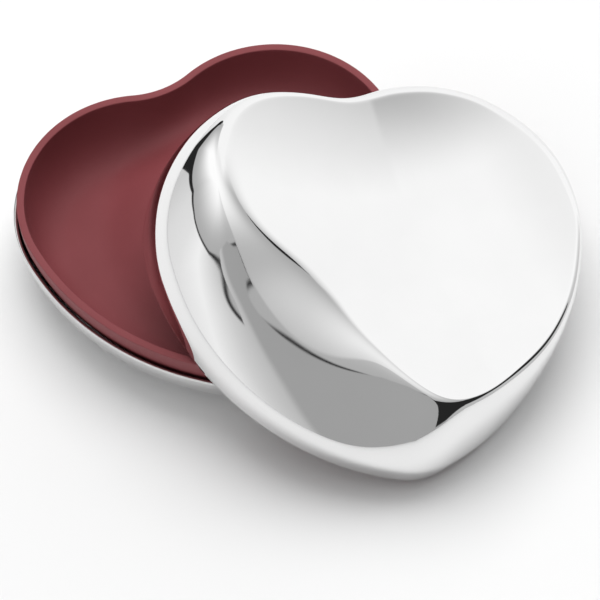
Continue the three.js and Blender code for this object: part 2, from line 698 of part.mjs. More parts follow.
function comb() {
  const width = CYLINDER.to - CYLINDER.from;
  const pitch = width / COMB.teeth;
  const points = [[0, -COMB.reach - COMB.land], [width, -COMB.reach - COMB.land], [width, -COMB.reach]];
  for (let i = COMB.teeth - 1; i >= 0; i -= 1) {
    const x = i * pitch;
    points.push([x + pitch * 0.9, -COMB.reach], [x + pitch * 0.75, 0]);
    points.push([x + pitch * 0.3, 0], [x + pitch * 0.15, -COMB.reach]);
  }
  points.push([0, -COMB.reach]);
  const shape = polygonShape(points);
  for (const share of COMB.screws) {
    addRoundHole(shape, width * share, -COMB.reach - COMB.land / 2, COMB.shank + GAP);
  }
  const tips = CYLINDER_Y - CYLINDER.radius - CYLINDER.pinHeight - GAP;
  return piece('comb', at(extrude(shape, COMB.thickness, 5), CYLINDER.from, tips, COMB_Z), SATIN_STEEL);
}

const COMB_Z = CYLINDER_Z - COMB.thickness / 2;

function combFixings() {
  const width = CYLINDER.to - CYLINDER.from;
  const low = PLATE_TOP + GAP;
  const tips = CYLINDER_Y - CYLINDER.radius - CYLINDER.pinHeight - GAP;
  const y = tips - COMB.reach - COMB.land / 2;
  const middle = CYLINDER.from + width / 2;
  const shape = rectangleShape(width - 1, COMB.land - 1);
  const offsets = COMB.screws.map((share) => width * (share - 0.5));
  offsets.forEach((x) => addRoundHole(shape, x, 0, COMB.shank + GAP));
  const block = extrude(shape, COMB_Z - GAP - low, 5);
  const screws = offsets.map((x, i) => piece(
    `comb_screw_${i + 1}`,
    at(screw(COMB.shank, 1.7, COMB_Z + COMB.thickness + GAP, low), middle + x, y, 0),
    SATIN_STEEL,
  ));
  return [piece('comb_block', at(block, middle, y, low), BRASS), ...screws];
}

const WHEEL_CHEEK_X = CYLINDER.to + 2 * GAP + GEAR.thickness + 0.2;

// One shaft with the small pinion on the drum's side of the cheek and the wheel on its far side.
function governorWheel() {
  const wheelX = WHEEL_CHEEK_X + CHEEK + GAP;
  const pinionX = CYLINDER.to + GAP;
  const wheelOutline = gearShape(WHEEL.radius, WHEEL.radius - 0.4, WHEEL.teeth, 0);
  const pinionOutline = gearShape(WHEEL.pinion, WHEEL.pinion - 0.35, WHEEL.pinionTeeth, 0);
  const wheel = alongX(extrude(wheelOutline, 0.7, 5));
  const pinion = alongX(extrude(pinionOutline, GEAR.thickness, 5));
  const shaft = alongX(tube(WHEEL.shaft, 0, wheelX + 1.6 - pinionX + 0.4, 4));
  const geometry = join(at(wheel, wheelX, 0, 0), at(pinion, pinionX, 0, 0), at(shaft, pinionX - 0.4, 0, 0));
  return piece('governor_wheel', at(geometry, 0, CYLINDER_Y + WHEEL.side, WHEEL.z), BRASS);
}

// The endless screw and its two-bladed fly, which brakes the train with air.
function airBrake() {
  const low = PLATE_TOP + 1.4;
  const shaft = at(tube(0.45, 0, FLY.z + FLY.blade - low, 4), 0, 0, low);
  const worm = at(extrude(gearShape(FLY.worm, FLY.worm - 0.25, 6, 0), 3.2, 4), 0, 0, WHEEL.z - 1.6);
  const blades = at(new THREE.BoxGeometry(FLY.radius * 2, 0.6, FLY.blade), 0, 0, FLY.z + FLY.blade / 2);
  const hub = at(tube(0.9, 0, FLY.blade, 4), 0, 0, FLY.z);
  return piece('air_brake', at(join(shaft, worm, blades, hub), FLY.x, FLY.y, 0), SATIN_STEEL);
}

function governorBracket() {
  const low = PLATE_TOP + GAP;
  const height = FLY.z - 0.5 - low;
  const foot = at(new THREE.BoxGeometry(2.6, 5.4, 0.8), 0, 1.7, low + 0.4);
  const post = at(new THREE.BoxGeometry(2.6, 1, height), 0, 3.9, low + height / 2);
  const arm = at(new THREE.BoxGeometry(2.6, 5.4, 0.6), 0, 1.7, low + height - 0.3);
  const hole = at(tube(0.45 + GAP, 0, height + 2, 4), 0, 0, low - 1);
  return piece('governor_bracket', at(cut(join(foot, post, arm), hole), FLY.x, FLY.y, 0), BRASS);
}

// The stop lever swings under the bedplate: a thumb tab shows beside the key, a finger stands by the fly.
function stopLever() {
  const [tab, end] = [LEVER.tab, LEVER.end];
  const width = 1.2;
  const shape = polygonShape([
    [tab[0] - width, tab[1] + width], [tab[0] + width, tab[1] - width], [2, -width - 0.6],
    [end[0], end[1] - width], [end[0] + 0.8, end[1]], [end[0], end[1] + width], [-2, width + 0.6],
  ]);
  addRoundHole(shape, 0, 0, LEVER.pin + GAP);
  const top = FLY.z + FLY.blade;
  const arm = at(extrude(shape, LEVER.thickness, 6), 0, 0, LEVER.z);
  const thumb = at(new THREE.BoxGeometry(1.6, 1.6, 2), tab[0], tab[1], LEVER.z - 0.8);
  const finger = at(new THREE.BoxGeometry(0.9, 0.9, top - LEVER.z), end[0], end[1], (LEVER.z + top) / 2);
  const hook = new THREE.BoxGeometry(0.9, LEVER.tip, FLY.blade);
  const tip = at(hook, end[0], end[1] - LEVER.tip / 2, top - FLY.blade / 2);
  return piece('stop_lever', at(join(arm, thumb, finger, tip), LEVER.x, LEVER.y, 0), SATIN_STEEL);
}

function stopPivot() {
  const pin = join(
    at(tube(LEVER.pin, 0, PLATE_TOP + 0.6 - LEVER.z, 5), 0, 0, LEVER.z),
    at(tube(1.4, 0, 0.7, 5), 0, 0, PLATE_TOP + GAP),
  );
  return piece('stop_pivot', at(pin, LEVER.x, LEVER.y, 0), SATIN_STEEL);
}

// ---------------------------------------------------------------- assembly

function movement() {
  const group = new THREE.Group();
  group.add(bedplate(), ...plateFixings(), springBarrel(), barrelCap(), mainspring());
  group.add(windingArbor(), windingKey(), ratchetWheel(), click(), clickScrew());
  group.add(barrelBridge(), ...bridgeFixings());
  group.add(tuneCylinder(), cylinderArbor(), arborGear('cylinder_gear', GEAR.x, GEAR));
  group.add(arborGear('governor_gear', CYLINDER.to + GAP, GOVERNOR_GEAR));
  group.add(...bearings(), comb(), ...combFixings(), governorWheel(), airBrake(), governorBracket());
  group.add(stopLever(), stopPivot());
  return group;
}

function musicBox() {
  const group = new THREE.Group();
  group.position.y = HEART_CENTRE_Y;
  group.add(baseShell(), basePad(), liner(), movement(), lid());
  return group;
}

const model = new THREE.Group();
model.add(musicBox());
export default model;
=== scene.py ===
import json
import math

import bpy
import numpy as np
from mathutils import Matrix, Vector


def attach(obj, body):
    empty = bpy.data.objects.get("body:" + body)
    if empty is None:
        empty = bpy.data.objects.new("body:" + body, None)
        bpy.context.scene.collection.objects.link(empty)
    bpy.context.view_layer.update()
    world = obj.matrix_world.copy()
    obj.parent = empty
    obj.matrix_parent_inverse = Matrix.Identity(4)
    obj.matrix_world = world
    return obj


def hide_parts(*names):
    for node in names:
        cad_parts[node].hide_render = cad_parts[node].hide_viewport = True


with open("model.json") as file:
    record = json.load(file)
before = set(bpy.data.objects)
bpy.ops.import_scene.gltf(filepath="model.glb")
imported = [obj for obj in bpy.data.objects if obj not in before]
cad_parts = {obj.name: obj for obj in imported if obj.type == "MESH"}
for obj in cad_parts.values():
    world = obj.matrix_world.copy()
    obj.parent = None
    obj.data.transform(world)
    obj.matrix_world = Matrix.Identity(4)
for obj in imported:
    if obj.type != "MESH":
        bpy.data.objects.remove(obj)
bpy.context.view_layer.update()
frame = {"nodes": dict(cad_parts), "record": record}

# ---------------------------------------------------------------- driving dimensions, in millimetres

MM = 0.001
HEART_CENTRE_Y = 36.0
SEGMENTS = {"notch": 22, "lobe": 84, "side": 54, "tip": 30}

# lobe radius, lobe x, notch radius, side radius, tip radius, tip y
BASE_HEART = (43.9, 24.6, 29.5, 93.0, 34.0, -85.1)
LID_HEART = (48.2, 25.4, 26.0, 95.5, 26.0, -85.8)

SHELL_MARGIN = 0.1                  # keeps the finer arcs inside the faceted solid's box
SHELL_BOTTOM, SHELL_HEIGHT, SHELL_WALL, SHELL_KEY_HOLE = 1.5, 20.5, 1.2, 14.0
LINER_TOP, LINER_INSET, LINER_RIM, LINER_FLOOR, LINER_WALL = 30.2, 1.3, 2.6, 8.5, 1.6
LINER_SPREAD, LINER_ROUNDNESS = 15.0, 2.2
RAISED_X, RAISED_Y, RAISED_HEIGHT, RAISED_INNER, RAISED_OUTER = 14.0, -16.0, 17.4, 33.0, 58.0
BASE_MIDDLE = np.array([0.0, -20.0])
ARBOR = (-2.0, -16.0)
PAD_THICKNESS, PAD_INSET, PAD_KEY_HOLE = 1.2, 22.0, 15.0

LID_WIDEST, LID_FOOT_INSET, LID_BELT, LID_WALL, LID_FOOT_WALL = 0.6, 0.6, 0.27, 1.8, 1.0
LID_PLACE = (33.3, -42.4, 25.1)
LID_YAW, LID_PITCH, LID_ROLL = -9.9, 13.9, 12.9
PAN_INSET, PAN_RIM, PAN_TOP, PAN_THICKNESS, PAN_SPREAD = 3.2, 8.8, 14.0, 1.5, 9.0

DISH_MIDDLE = np.array([20.0, -10.0])
CREST_INSET = 0.8
DISH_DEPTH, DISH_LEAN_X, DISH_LEAN_Y, DISH_CURVE_X, DISH_CURVE_Y = 24.6, -0.03, -0.055, 0.0024, 0.0011

# The crest: the dish's edge, which makes the S-shaped ridge on the left.
CREST = [
    (69, -12), (68.6, -3), (66.5, 9), (61.5, 19.5), (55, 28), (46.5, 36), (35, 41.3), (26, 43),
    (17.6, 43.3), (9, 42), (0, 41.6), (-8, 43.6), (-19, 45.3), (-32, 44.8), (-43.5, 39), (-50, 28),
    (-50.5, 14), (-47.5, 1.5), (-41, -8), (-32, -17.5), (-22.5, -31), (-14, -48), (-5, -62),
    (4.8, -70.5), (17.6, -69.8), (33, -62.5), (47.6, -52.3), (59, -38.3), (66.5, -22),
]

# The flank is full on the left, steep on the right and nearly a straight draft at the back and the tip.
# Each triple is a direction and a spread in degrees, and the change there.
FLANK_ROUNDNESS = 2.1
FLANK_CHANGES = [(335, 60, 0.9), (80, 75, -0.95), (243, 85, -0.8)]

# The ridge's rounding in millimetres: broad by the left lobe, crisp where the crest runs beside the rim.
CREST_SOFTNESS = 0.6
SOFTNESS_CHANGES = [(178, 60, 2.6), (225, 45, 1.5), (90, 60, 0.5)]

CAMERA_AZIMUTH, CAMERA_ELEVATION, CAMERA_DISTANCE = -25.19, 58.19, 2000.0
CAMERA_TARGET = (14.34, -5.59, 0.0)
FIELD_OF_VIEW = 2 * math.atan(300 / 5893)


# ---------------------------------------------------------------- mesh helpers

def arc(centre, radius, start, end, count):
    angles = start + (end - start) * np.arange(count) / count
    return np.c_[centre[0] + radius * np.cos(angles), centre[1] + radius * np.sin(angles)]


def heart_ring(heart, offset):
    """A closed, anticlockwise heart outline moved outwards by offset; equal indices lie on equal normals."""
    lobe_r, lobe_x, notch_r, side_r, tip_r, tip_y = heart
    lobe = np.array([lobe_x, 0.0])
    notch = np.array([0.0, math.sqrt((lobe_r + notch_r) ** 2 - lobe_x ** 2)])
    tip = np.array([0.0, tip_y + tip_r])
    between = tip - lobe
    distance = np.hypot(*between)
    along = ((side_r - lobe_r) ** 2 - (side_r - tip_r) ** 2 + distance ** 2) / (2 * distance)
    across = math.sqrt((side_r - lobe_r) ** 2 - along ** 2)
    unit = between / distance
    side = lobe + unit * along + np.array([unit[1], -unit[0]]) * across
    angle = lambda a, b: math.atan2(b[1] - a[1], b[0] - a[0])
    right = np.vstack([
        arc(notch, notch_r - offset, -math.pi / 2, angle(notch, lobe), SEGMENTS["notch"]),
        arc(lobe, lobe_r + offset, angle(lobe, notch), angle(side, lobe), SEGMENTS["lobe"]),
        arc(side, side_r + offset, angle(side, lobe), angle(side, tip), SEGMENTS["side"]),
        arc(tip, tip_r + offset, angle(side, tip), -math.pi / 2, SEGMENTS["tip"]),
        [[0.0, tip_y - offset]],
    ])
    left = right[1:-1] * [-1, 1]
    return np.vstack([right[::-1], left])


def lift(ring, z):
    return np.c_[ring, np.broadcast_to(z, len(ring))]


def loft(name, rings, cap_first=None, cap_last=None, closed=False):
    """A skin over rings of equal length. A cap is its fan's point; closed joins the last to the first."""
    count = len(rings[0])
    points = np.vstack(rings)
    faces = []
    spans = len(rings) if closed else len(rings) - 1
    for k in range(spans):
        a = k * count
        b = ((k + 1) % len(rings)) * count
        for i in range(count):
            j = (i + 1) % count
            faces.append((a + i, a + j, b + j, b + i))
    for cap, start, flip in ((cap_first, 0, True), (cap_last, (len(rings) - 1) * count, False)):
        if cap is None:
            continue
        points = np.vstack([points, [cap]])
        tip = len(points) - 1
        for i in range(count):
            j = (i + 1) % count
            faces.append((tip, start + j, start + i) if flip else (tip, start + i, start + j))
    mesh = bpy.data.meshes.new(name)
    mesh.from_pydata((points * MM).tolist(), [], faces)
    mesh.update()
    obj = bpy.data.objects.new(name, mesh)
    bpy.context.scene.collection.objects.link(obj)
    for polygon in mesh.polygons:
        polygon.use_smooth = True
    return obj


def place(obj, matrix):
    obj.data.transform(matrix)
    obj.data.update()
    return obj


def in_base(obj):
    return place(obj, Matrix.Translation((0, HEART_CENTRE_Y * MM, 0)))


def lid_matrix():
    turn = (Matrix.Rotation(math.radians(LID_YAW), 4, "Z")
            @ Matrix.Rotation(math.radians(LID_PITCH), 4, "X")
            @ Matrix.Rotation(math.radians(LID_ROLL), 4, "Y"))
    x, y, z = LID_PLACE
    return Matrix.Translation((x * MM, (y + HEART_CENTRE_Y) * MM, z * MM)) @ turn


def smooth_step(low, high, value):
    t = np.clip((value - low) / (high - low), 0, 1)
    return t * t * (3 - 2 * t)


# ---------------------------------------------------------------- base: shell, liner and pad

SHELL_SECTION = [(-20, 0), (-12.5, 1.2), (-7, 4), (-3.4, 8), (-1.3, 13), (-0.2, 18), (0, SHELL_HEIGHT)]


def fine_section(points, count):
    """A smooth curve through a short list of section points."""
    points = np.array(points, float)
    knots = np.r_[0, np.cumsum(np.hypot(*np.diff(points, axis=0).T))]
    slopes = np.gradient(points, knots, axis=0)
    out = []
    for s in np.linspace(0, knots[-1], count):
        k = min(np.searchsorted(knots, s, side="right") - 1, len(knots) - 2)
        h = knots[k + 1] - knots[k]
        t = (s - knots[k]) / h
        out.append((2 * t ** 3 - 3 * t ** 2 + 1) * points[k] + (t ** 3 - 2 * t ** 2 + t) * h * slopes[k]
                   + (3 * t ** 2 - 2 * t ** 3) * points[k + 1] + (t ** 3 - t ** 2) * h * slopes[k + 1])
    return np.array(out)


def key_opening(ring, radius, share):
    """A ring of the shell's flat bottom, drawn from the outline to a round opening about the arbor."""
    arbor = np.array(ARBOR)
    away = ring - arbor
    circle = arbor + radius * away / np.hypot(*away.T)[:, None]
    return ring + (circle - ring) * share


def base_shell():
    section = fine_section(SHELL_SECTION, 40)
    section[:, 0] = np.minimum(section[:, 0], 0) - SHELL_MARGIN
    outer = [lift(heart_ring(BASE_HEART, o), SHELL_BOTTOM + z) for o, z in section]
    inner = []
    for o, z in section:
        low = 1 - z / SHELL_HEIGHT
        inset = SHELL_WALL * (1 - 0.6 * low ** 2)
        inner.append(lift(heart_ring(BASE_HEART, o - inset), SHELL_BOTTOM + z + SHELL_WALL * low))
    lip = lift(heart_ring(BASE_HEART, -SHELL_WALL / 2), SHELL_BOTTOM + SHELL_HEIGHT)
    flat_out = heart_ring(BASE_HEART, section[0][0])
    flat_in = heart_ring(BASE_HEART, section[0][0] - SHELL_WALL * 0.4)
    under = [lift(key_opening(flat_out, SHELL_KEY_HOLE, s), SHELL_BOTTOM) for s in (1, 0.97, 0.7, 0.35)]
    floor_top = SHELL_BOTTOM + SHELL_WALL
    above = [lift(key_opening(flat_in, SHELL_KEY_HOLE, s), floor_top) for s in (0.35, 0.7, 0.97, 1)]
    rings = under + outer + [lip] + inner[::-1] + above
    return in_base(loft("shell_skin", rings, closed=True))


def floor_height(points):
    away = np.hypot(points[:, 0] - RAISED_X, points[:, 1] - RAISED_Y)
    rise = 1 - smooth_step(RAISED_INNER, RAISED_OUTER, away)
    return LINER_FLOOR + (RAISED_HEIGHT - LINER_FLOOR) * rise


def bowl_ring(turn, thickness):
    power = 2 / LINER_ROUNDNESS
    inward = 1 - max(math.cos(turn), 0) ** power
    down = math.sin(turn) ** power
    edge = -LINER_INSET - LINER_RIM - LINER_SPREAD * inward
    outward = thickness * (1 + (LINER_RIM / LINER_WALL - 1) * (1 - down))
    ring = heart_ring(BASE_HEART, edge + outward)
    z = LINER_TOP - (LINER_TOP - floor_height(ring)) * down - thickness * down
    return lift(ring, z)


def bowl_floor(share, thickness):
    edge = bowl_ring(math.pi / 2, thickness)[:, :2]
    ring = edge + (BASE_MIDDLE - edge) * share
    return lift(ring, floor_height(ring) - thickness)


def liner():
    turns = np.radians(np.linspace(0, 90, 36))
    shares = np.linspace(0.04, 0.96, 22)
    soft = 0.35
    inside, outside = (
        [bowl_ring(turn, depth) for turn in turns[1:]] + [bowl_floor(s, depth) for s in shares]
        for depth in (0, LINER_WALL)
    )
    top = []
    for angle in np.radians(np.linspace(0, 90, 5)):
        drop = soft * (1 - math.sin(angle))
        edge = -LINER_INSET - soft * (1 - math.cos(angle))
        top.append(lift(heart_ring(BASE_HEART, edge), LINER_TOP - drop))
    for angle in np.radians(np.linspace(90, 0, 5)):
        drop = soft * (1 - math.sin(angle))
        edge = -LINER_INSET - LINER_RIM + soft * (1 - math.cos(angle))
        top.append(lift(heart_ring(BASE_HEART, edge), LINER_TOP - drop))
    middle = floor_height(BASE_MIDDLE[None])[0]
    rings = outside[::-1] + top + inside
    low = [BASE_MIDDLE[0], BASE_MIDDLE[1], middle - LINER_WALL]
    high = [BASE_MIDDLE[0], BASE_MIDDLE[1], middle]
    return in_base(loft("liner_skin", rings, cap_first=low, cap_last=high))


def base_pad():
    outline = heart_ring(BASE_HEART, -PAD_INSET)
    hole = key_opening(outline, PAD_KEY_HOLE, 1)
    soft = 0.3
    shares = np.linspace(0, 1, 18)
    rings = []
    for low in (True, False):
        face = []
        for share in shares:
            ring = outline + (hole - outline) * share
            edge = min(share, 1 - share) < 1e-6
            z = soft if edge else 0.0
            face.append(lift(ring, z if low else PAD_THICKNESS - z))
        rings += face if not low else face[::-1]
    return in_base(loft("pad_felt", rings, closed=True))


# ---------------------------------------------------------------- lid

def crest_function():
    """The crest's distance from the dish's middle against direction, as a smooth closed curve."""
    points = np.array(CREST, float)
    count = len(points)
    dense = []
    for i in range(count):
        p0, p1, p2, p3 = (points[(i + k - 1) % count] for k in range(4))
        for t in np.linspace(0, 1, 40, endpoint=False):
            dense.append(0.5 * (2 * p1 + (p2 - p0) * t + (2 * p0 - 5 * p1 + 4 * p2 - p3) * t ** 2
                                + (3 * p1 - p0 - 3 * p2 + p3) * t ** 3))
    away = np.array(dense) - DISH_MIDDLE
    angles = np.arctan2(away[:, 1], away[:, 0])
    order = np.argsort(angles)
    grid = np.linspace(-math.pi, math.pi, 1440, endpoint=False)
    reach = np.interp(grid, angles[order], np.hypot(*away.T)[order], period=2 * math.pi)
    spread = np.arange(-60, 61)
    weight = np.exp(-(spread / 14.0) ** 2 / 2)
    padded = np.r_[reach[-60:], reach, reach[:60]]
    reach = np.convolve(padded, weight / weight.sum(), mode="valid")
    return grid, reach


CREST_GRID, CREST_REACH = crest_function()


def dish_height(points):
    x, y = points[:, 0], points[:, 1]
    return (DISH_DEPTH + DISH_LEAN_X * x + DISH_LEAN_Y * y + DISH_CURVE_X * (x - DISH_MIDDLE[0]) ** 2
            + DISH_CURVE_Y * (y - DISH_MIDDLE[1]) ** 2)


def crest_points(ring, depth=0.0):
    """The crest beside each outline point; the inner skin's crest is drawn in by a share of its depth."""
    away = ring - DISH_MIDDLE
    angles = np.arctan2(away[:, 1], away[:, 0])
    reach = np.interp(angles, CREST_GRID, CREST_REACH, period=2 * math.pi) - depth * CREST_INSET
    return DISH_MIDDLE + np.c_[np.cos(angles), np.sin(angles)] * reach[:, None]


def bearing(ring):
    """Each point's direction from the dish's middle, in degrees from 0 to 360, anticlockwise from +X."""
    away = ring - DISH_MIDDLE
    return np.degrees(np.arctan2(away[:, 1], away[:, 0])) % 360


def bell(angles, centre, half_width):
    """1 at the centre and 0 beyond the half width, round the circle."""
    gap = np.abs((angles - centre + 180) % 360 - 180)
    return 1 - smooth_step(0, half_width, gap)


def around(ring, base, changes):
    """A value that changes round the lid: each change has a direction, a spread and a size."""
    angles = bearing(ring)
    return base + sum(size * bell(angles, direction, spread) for direction, spread, size in changes)


def flank_roundness(ring):
    return around(ring, FLANK_ROUNDNESS, FLANK_CHANGES)


def flank_ring(turn, depth):
    ring = heart_ring(LID_HEART, LID_WIDEST - depth)
    crest = crest_points(ring, depth)
    power = 2 / flank_roundness(ring)
    inward = (1 - max(math.cos(turn), 0) ** power)[:, None]
    upward = max(math.sin(turn), 0) ** power
    top = dish_height(crest)
    belt = LID_BELT * top
    return lift(ring + (crest - ring) * inward, belt + (top - depth - belt) * upward)


def dish_ring(share, depth):
    ring = heart_ring(LID_HEART, LID_WIDEST - depth)
    crest = crest_points(ring, depth)
    flat = crest + (DISH_MIDDLE - crest) * share
    return lift(flat, dish_height(flat) - depth)


def rounded(rings, radius):
    """Rounds a skin along its sections. radius gives each section's rounding, and the ends stay put."""
    skin = np.array(rings)
    lengths = np.linalg.norm(np.diff(skin, axis=0), axis=2)
    out = np.empty_like(skin)
    for i in range(skin.shape[1]):
        knots = np.r_[0, np.cumsum(lengths[:, i])]
        even = np.linspace(0, knots[-1], 600)
        line = np.c_[[np.interp(even, knots, skin[:, i, axis]) for axis in range(3)]].T
        width = radius[i] / (even[1] - even[0])
        reach = int(3 * width) + 1
        weight = np.exp(-(np.arange(-reach, reach + 1) / width) ** 2 / 2)
        weight /= weight.sum()
        head = 2 * line[0] - line[reach:0:-1]
        tail = 2 * line[-1] - line[-2:-reach - 2:-1]
        long = np.vstack([head, line, tail])
        line = np.c_[[np.convolve(long[:, axis], weight, mode="valid") for axis in range(3)]].T
        out[:, i] = np.c_[[np.interp(knots, even, line[:, axis]) for axis in range(3)]].T
    return list(out)


def lid_skin(depth, flank_steps, dish_steps):
    foot = LID_WIDEST - LID_FOOT_INSET - depth * (LID_FOOT_WALL / LID_WALL)
    crest = crest_points(heart_ring(LID_HEART, LID_WIDEST - depth), depth)
    belt = LID_BELT * dish_height(crest)
    rings = []
    for t in np.linspace(0, 1, 9, endpoint=False):
        bulge = math.sin(t * math.pi / 2)
        offset = foot + (LID_WIDEST - depth - foot) * bulge
        rings.append(lift(heart_ring(LID_HEART, offset), belt * t))
    turns = np.linspace(0, 1, flank_steps)
    rings += [flank_ring(math.radians(90 * turn), depth) for turn in turns]
    shares = np.linspace(0, 1, dish_steps + 1)[1:-1] ** 1.8
    rings += [dish_ring(share, depth) for share in shares]
    return rings


def crest_softness(ring):
    return around(ring, CREST_SOFTNESS, SOFTNESS_CHANGES)


def lid_shell():
    softness = crest_softness(heart_ring(LID_HEART, LID_WIDEST))
    outside = rounded(lid_skin(0, 60, 60), softness)
    inside = lid_skin(LID_WALL, 24, 16)
    middle = dish_height(DISH_MIDDLE[None])[0]
    low = [*DISH_MIDDLE, middle - LID_WALL]
    high = [*DISH_MIDDLE, middle]
    obj = loft("lid_skin", inside[::-1] + outside, cap_first=low, cap_last=high)
    return place(obj, lid_matrix())


def lid_pan():
    section = [
        (-PAN_INSET - PAN_THICKNESS - PAN_SPREAD, PAN_TOP - PAN_THICKNESS),
        (-PAN_INSET - PAN_THICKNESS - PAN_SPREAD * 0.55, PAN_TOP - PAN_THICKNESS - 0.7),
        (-PAN_INSET - PAN_THICKNESS - PAN_SPREAD * 0.25, PAN_TOP - PAN_THICKNESS - 2.8),
        (-PAN_INSET - PAN_THICKNESS - PAN_SPREAD * 0.06, PAN_TOP - PAN_THICKNESS - 6),
        (-PAN_INSET - PAN_THICKNESS, PAN_RIM + 0.2),
        (-PAN_INSET - PAN_THICKNESS + 0.2, PAN_RIM),
        (-PAN_INSET - 0.2, PAN_RIM),
        (-PAN_INSET, PAN_RIM + 0.2),
        (-PAN_INSET - PAN_SPREAD * 0.06, PAN_TOP - 6),
        (-PAN_INSET - PAN_SPREAD * 0.22, PAN_TOP - 2.4),
        (-PAN_INSET - PAN_SPREAD * 0.55, PAN_TOP - 0.6),
        (-PAN_INSET - PAN_SPREAD, PAN_TOP),
    ]
    rings = [lift(heart_ring(LID_HEART, o), z) for o, z in section]
    low = [*BASE_MIDDLE, PAN_TOP - PAN_THICKNESS]
    high = [*BASE_MIDDLE, PAN_TOP]
    return place(loft("pan_skin", rings, cap_first=low, cap_last=high), lid_matrix())


# ---------------------------------------------------------------- materials

def new_material(name):
    material = bpy.data.materials.new(name)
    material.use_nodes = True
    nodes = material.node_tree.nodes
    nodes.clear()
    output = nodes.new("ShaderNodeOutputMaterial")
    shader = nodes.new("ShaderNodeBsdfPrincipled")
    material.node_tree.links.new(shader.outputs["BSDF"], output.inputs["Surface"])
    return material, nodes, material.node_tree.links, shader


def noise(nodes, links, scale, detail=3.0, roughness=0.5, stretch=None):
    coords = nodes.new("ShaderNodeTexCoord")
    texture = nodes.new("ShaderNodeTexNoise")
    texture.inputs["Scale"].default_value = scale
    texture.inputs["Detail"].default_value = detail
    texture.inputs["Roughness"].default_value = roughness
    if stretch:
        mapping = nodes.new("ShaderNodeMapping")
        mapping.inputs["Scale"].default_value = stretch
        links.new(coords.outputs["Object"], mapping.inputs["Vector"])
        links.new(mapping.outputs["Vector"], texture.inputs["Vector"])
    else:
        links.new(coords.outputs["Object"], texture.inputs["Vector"])
    return texture


def ramp(nodes, links, source, stops):
    node = nodes.new("ShaderNodeValToRGB")
    while len(node.color_ramp.elements) < len(stops):
        node.color_ramp.elements.new(0.5)
    for element, (position, colour) in zip(node.color_ramp.elements, stops):
        element.position = position
        element.color = (*colour, 1)
    links.new(source, node.inputs["Fac"])
    return node


def bump(nodes, links, source, shader, strength, distance):
    node = nodes.new("ShaderNodeBump")
    node.inputs["Strength"].default_value = strength
    node.inputs["Distance"].default_value = distance
    links.new(source, node.inputs["Height"])
    links.new(node.outputs["Normal"], shader.inputs["Normal"])
    return node


def grey(value):
    return (value, value, value)


def metal(name, dark, light, rough_low, rough_high, scale, stretch=None, relief=0.0):
    material, nodes, links, shader = new_material(name)
    shader.inputs["Metallic"].default_value = 1.0
    broad = noise(nodes, links, scale, 4, 0.55, stretch)
    colour = ramp(nodes, links, broad.outputs["Fac"], [(0.35, dark), (0.65, light)])
    links.new(colour.outputs["Color"], shader.inputs["Base Color"])
    fine = noise(nodes, links, scale * 9, 5, 0.6, stretch)
    rough = ramp(nodes, links, fine.outputs["Fac"], [(0.3, grey(rough_low)), (0.7, grey(rough_high))])
    links.new(rough.outputs["Color"], shader.inputs["Roughness"])
    if relief:
        bump(nodes, links, fine.outputs["Fac"], shader, 0.3, relief)
    return material


def moulded_plastic():
    material, nodes, links, shader = new_material("burgundy_moulded")
    broad = noise(nodes, links, 45, 3, 0.5)
    stops = [(0.3, (0.205, 0.042, 0.048)), (0.7, (0.225, 0.048, 0.055))]
    colour = ramp(nodes, links, broad.outputs["Fac"], stops)
    links.new(colour.outputs["Color"], shader.inputs["Base Color"])
    fine = noise(nodes, links, 2600, 4, 0.6)
    rough = ramp(nodes, links, fine.outputs["Fac"], [(0.3, grey(0.58)), (0.7, grey(0.66))])
    links.new(rough.outputs["Color"], shader.inputs["Roughness"])
    bump(nodes, links, fine.outputs["Fac"], shader, 0.25, 0.00004)
    return material


def felt():
    material, nodes, links, shader = new_material("pressed_felt")
    broad = noise(nodes, links, 180, 5, 0.7)
    stops = [(0.3, (0.035, 0.006, 0.009)), (0.7, (0.07, 0.014, 0.018))]
    colour = ramp(nodes, links, broad.outputs["Fac"], stops)
    links.new(colour.outputs["Color"], shader.inputs["Base Color"])
    fibres = noise(nodes, links, 1400, 6, 0.75)
    shader.inputs["Roughness"].default_value = 0.95
    shader.inputs["Sheen Weight"].default_value = 0.4
    shader.inputs["Sheen Roughness"].default_value = 0.5
    bump(nodes, links, fibres.outputs["Fac"], shader, 0.8, 0.0003)
    return material


STEEL = metal("mirror_steel", grey(0.80), grey(0.84), 0.025, 0.05, 14)
SATIN_SHELL = metal("satin_shell", grey(0.70), grey(0.75), 0.16, 0.24, 20)
PLASTIC = moulded_plastic()
FELT = felt()
SATIN = metal("satin_steel", grey(0.42), grey(0.55), 0.25, 0.4, 120, (1, 8, 1), 0.00002)
BLUED = metal("blued_steel", (0.03, 0.045, 0.11), (0.06, 0.08, 0.17), 0.2, 0.34, 120, None, 0.00001)
BRASS = metal("lacquered_brass", (0.52, 0.34, 0.12), (0.68, 0.47, 0.2), 0.2, 0.36, 120, (8, 1, 1), 0.00002)
BY_SLOT = {
    "polished_steel": STEEL, "burgundy_plastic": PLASTIC, "felt": FELT,
    "satin_steel": SATIN, "blued_steel": BLUED, "brass": BRASS,
}


def give(obj, material):
    obj.data.materials.clear()
    obj.data.materials.append(material)


for part in frame["record"]["subparts"]:
    give(frame["nodes"][part["node"]], BY_SLOT[part["material_slot"]])

for build, node, body, slot_name, surface in (
    (base_shell, "base_shell", "base", "polished_steel", SATIN_SHELL),
    (liner, "liner", "base", "burgundy_plastic", PLASTIC),
    (base_pad, "base_pad", "base", "felt", FELT),
    (lid_shell, "lid_shell", "lid", "polished_steel", STEEL),
    (lid_pan, "lid_liner", "lid", "burgundy_plastic", PLASTIC),
):
    piece = build()
    give(piece, surface)
    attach(piece, body)
    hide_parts(node)


# ---------------------------------------------------------------- stage, light and camera

